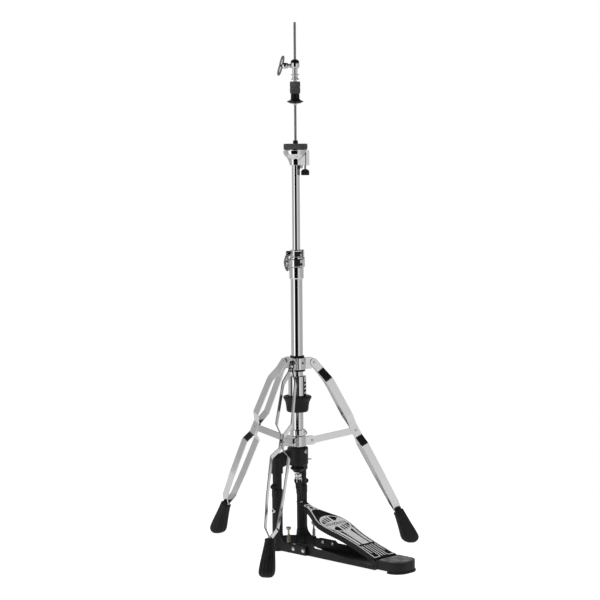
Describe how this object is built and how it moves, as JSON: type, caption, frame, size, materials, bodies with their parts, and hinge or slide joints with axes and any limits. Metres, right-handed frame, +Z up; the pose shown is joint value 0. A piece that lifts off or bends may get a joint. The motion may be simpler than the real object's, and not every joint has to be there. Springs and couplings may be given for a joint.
{
  "type": "hi-hat stand",
  "caption": "Chrome drum stand with folding double-braced legs, telescoping column, tilting felt seat, sprung pull rod and clutch, worked by a chain and footboard.",
  "frame": {"origin": "on the floor, at the centre of the stand's footprint", "axes": "+Z up along the column, -Y towards the heel of the pedal, +X to the player's right hand when seated at the pedal"},
  "size_m": [0.5448, 0.674, 1.286],
  "materials": {
    "chrome": "polished chrome plate",
    "satin_steel": "satin plated steel",
    "black_casting": "satin black powder coat on cast aluminium",
    "black_plastic": "black moulded plastic",
    "rubber": "matt black rubber",
    "felt": "charcoal pressed felt",
    "zinc": "bright zinc and bronze-toned plate",
    "pedal": "black and silver finished footboard"
  },
  "bodies": {
    "base": {"base_tube": "chrome", "tube_bushing": "black_plastic", "height_clamp": "chrome", "spring_sleeve": "chrome", "lock_ring": "chrome", "lock_ring_screw": "black_plastic", "hub_casting": "black_casting", "rod_guide": "black_plastic", "post_left": "black_casting", "post_right": "black_casting", "post_sleeve_left": "black_casting", "post_sleeve_right": "black_casting", "base_hoop": "black_casting", "base_channel": "black_casting", "heel_plate": "black_casting", "heel_rubber": "rubber", "heel_hinge_pin": "satin_steel", "return_spring": "zinc"},
    "tripod": {"lower_collar": "chrome"},
    "top_collar": {"top_collar": "chrome", "top_collar_ring": "black_plastic", "lower_collar_ring": "black_plastic"},
    "leg_rear": {"leg_rear_strip_a": "satin_steel", "leg_rear_strip_b": "satin_steel", "foot_rear": "rubber"},
    "brace_rear": {"brace_rear": "satin_steel"},
    "leg_left": {"leg_left_strip_a": "satin_steel", "leg_left_strip_b": "satin_steel", "foot_left": "rubber"},
    "brace_left": {"brace_left": "satin_steel"},
    "leg_right": {"leg_right_strip_a": "satin_steel", "leg_right_strip_b": "satin_steel", "foot_right": "rubber"},
    "brace_right": {"brace_right": "satin_steel"},
    "upper_tube": {"upper_tube": "chrome", "seat_casting": "chrome", "seat_key_screw": "black_plastic"},
    "memory_lock": {"memory_lock": "chrome", "memory_lock_screw": "chrome"},
    "height_wing": {"height_wing_bolt": "chrome"},
    "tilt_knob": {"tilt_knob": "black_plastic"},
    "seat": {"seat_cup": "chrome", "seat_felt": "felt", "seat_sleeve": "black_plastic"},
    "pull_rod": {"pull_rod_lower": "satin_steel", "pull_rod_upper": "chrome", "rod_connector": "chrome"},
    "chain": {"chain": "black_casting"},
    "pedal": {"footboard": "pedal"},
    "clutch": {"clutch_body": "chrome", "clutch_cap": "black_plastic", "clutch_lock_nut_upper": "chrome", "clutch_lock_nut_lower": "chrome", "clutch_felt_upper": "felt", "clutch_felt_lower": "felt", "clutch_bottom_nut": "black_plastic"},
    "clutch_wing": {"clutch_wing_bolt": "chrome"},
    "tension_knob": {"tension_knob": "rubber"},
    "spur_left": {"spur_left": "zinc"},
    "spur_right": {"spur_right": "zinc"}
  },
  "joints": [
    {"name": "tripod_swivel", "type": "hinge", "parent": "base", "child": "tripod", "pos_m": [0, 0.025, 0.27], "axis": [0, 0, 1], "range_deg": [-15, 15]},
    {"name": "leg_fold", "type": "slide", "parent": "tripod", "child": "top_collar", "axis": [0, 0, 1], "range_m": [0, 0.1177]},
    {"name": "leg_hinge_rear", "type": "hinge", "parent": "top_collar", "child": "leg_rear", "pos_m": [0, 0.0665, 0.463], "axis": [-1, 0, 0], "range_deg": [0, 24.05]},
    {"name": "brace_hinge_rear", "type": "hinge", "parent": "tripod", "child": "brace_rear", "pos_m": [0, 0.0611, 0.271], "axis": [-1, 0, 0], "range_deg": [-64.07, 0]},
    {"name": "leg_hinge_left", "type": "hinge", "parent": "top_collar", "child": "leg_left", "pos_m": [-0.03594, 0.00425, 0.463], "axis": [0.5, -0.866, 0], "range_deg": [0, 24.05]},
    {"name": "brace_hinge_left", "type": "hinge", "parent": "tripod", "child": "brace_left", "pos_m": [-0.03126, 0.00695, 0.271], "axis": [0.5, -0.866, 0], "range_deg": [-64.07, 0]},
    {"name": "leg_hinge_right", "type": "hinge", "parent": "top_collar", "child": "leg_right", "pos_m": [0.03594, 0.00425, 0.463], "axis": [0.5, 0.866, 0], "range_deg": [0, 24.05]},
    {"name": "brace_hinge_right", "type": "hinge", "parent": "tripod", "child": "brace_right", "pos_m": [0.03126, 0.00695, 0.271], "axis": [0.5, 0.866, 0], "range_deg": [-64.07, 0]},
    {"name": "tube_height", "type": "slide", "parent": "base", "child": "upper_tube", "axis": [0, 0, 1], "range_m": [-0.15, 0.02]},
    {"name": "memory_lock_slide", "type": "slide", "parent": "upper_tube", "child": "memory_lock", "axis": [0, 0, 1], "range_m": [-0.02, 0.15]},
    {"name": "height_wing_turn", "type": "hinge", "parent": "base", "child": "height_wing", "pos_m": [-0.01402, 0.03927, 0.70765], "axis": [-0.7009, 0.7133, 0], "continuous": true},
    {"name": "tilt_knob_turn", "type": "hinge", "parent": "upper_tube", "child": "tilt_knob", "pos_m": [0.01612, 0.0086, 0.944], "axis": [0, 0, 1], "range_deg": [0, 1080]},
    {"name": "seat_tilt", "type": "hinge", "parent": "upper_tube", "child": "seat", "pos_m": [-0.01402, 0.03927, 0.9773], "axis": [-0.7133, -0.7009, 0], "range_deg": [0, 4.5]},
    {"name": "rod_pull", "type": "slide", "parent": "base", "child": "pull_rod", "axis": [0, 0, 1], "range_m": [-0.046, 0], "stiffness_N_per_m": 1200, "springref_m": 0.03, "deforming": ["return_spring"]},
    {"name": "pedal_hinge", "type": "hinge", "parent": "base", "child": "pedal", "pos_m": [0, -0.258, 0.02], "axis": [1, 0, 0], "range_deg": [-9.59, 0]},
    {"name": "chain_swing", "type": "hinge", "parent": "pull_rod", "child": "chain", "pos_m": [0, 0.025, 0.172], "axis": [1, 0, 0], "range_deg": [0, 14.6]},
    {"name": "clutch_height", "type": "slide", "parent": "pull_rod", "child": "clutch", "axis": [0, 0, 1], "range_m": [-0.01, 0.06]},
    {"name": "clutch_wing_turn", "type": "hinge", "parent": "clutch", "child": "clutch_wing", "pos_m": [-0.01402, 0.03927, 1.182], "axis": [-0.7009, 0.7133, 0], "continuous": true},
    {"name": "tension_knob_lift", "type": "slide", "parent": "base", "child": "tension_knob", "axis": [0, 0, 1], "range_m": [0, 0.03]},
    {"name": "spur_left_height", "type": "slide", "parent": "base", "child": "spur_left", "axis": [0, 0, 1], "range_m": [-0.006, 0.01]},
    {"name": "spur_right_height", "type": "slide", "parent": "base", "child": "spur_right", "axis": [0, 0, 1], "range_m": [-0.006, 0.01]}
  ],
  "couplings": [
    {"joint": "leg_hinge_rear", "follows": "leg_fold", "rad_per_m": 3.5586},
    {"joint": "brace_hinge_rear", "follows": "leg_fold", "rad_per_m": -9.493},
    {"joint": "leg_hinge_left", "follows": "leg_fold", "rad_per_m": 3.5586},
    {"joint": "brace_hinge_left", "follows": "leg_fold", "rad_per_m": -9.493},
    {"joint": "leg_hinge_right", "follows": "leg_fold", "rad_per_m": 3.5586},
    {"joint": "brace_hinge_right", "follows": "leg_fold", "rad_per_m": -9.493},
    {"joint": "memory_lock_slide", "follows": "tube_height", "ratio": -1},
    {"joint": "tilt_knob_turn", "follows": "seat_tilt", "ratio": 239.9},
    {"joint": "pedal_hinge", "follows": "rod_pull", "rad_per_m": 3.62},
    {"joint": "chain_swing", "follows": "rod_pull", "rad_per_m": -5.5207}
  ]
}
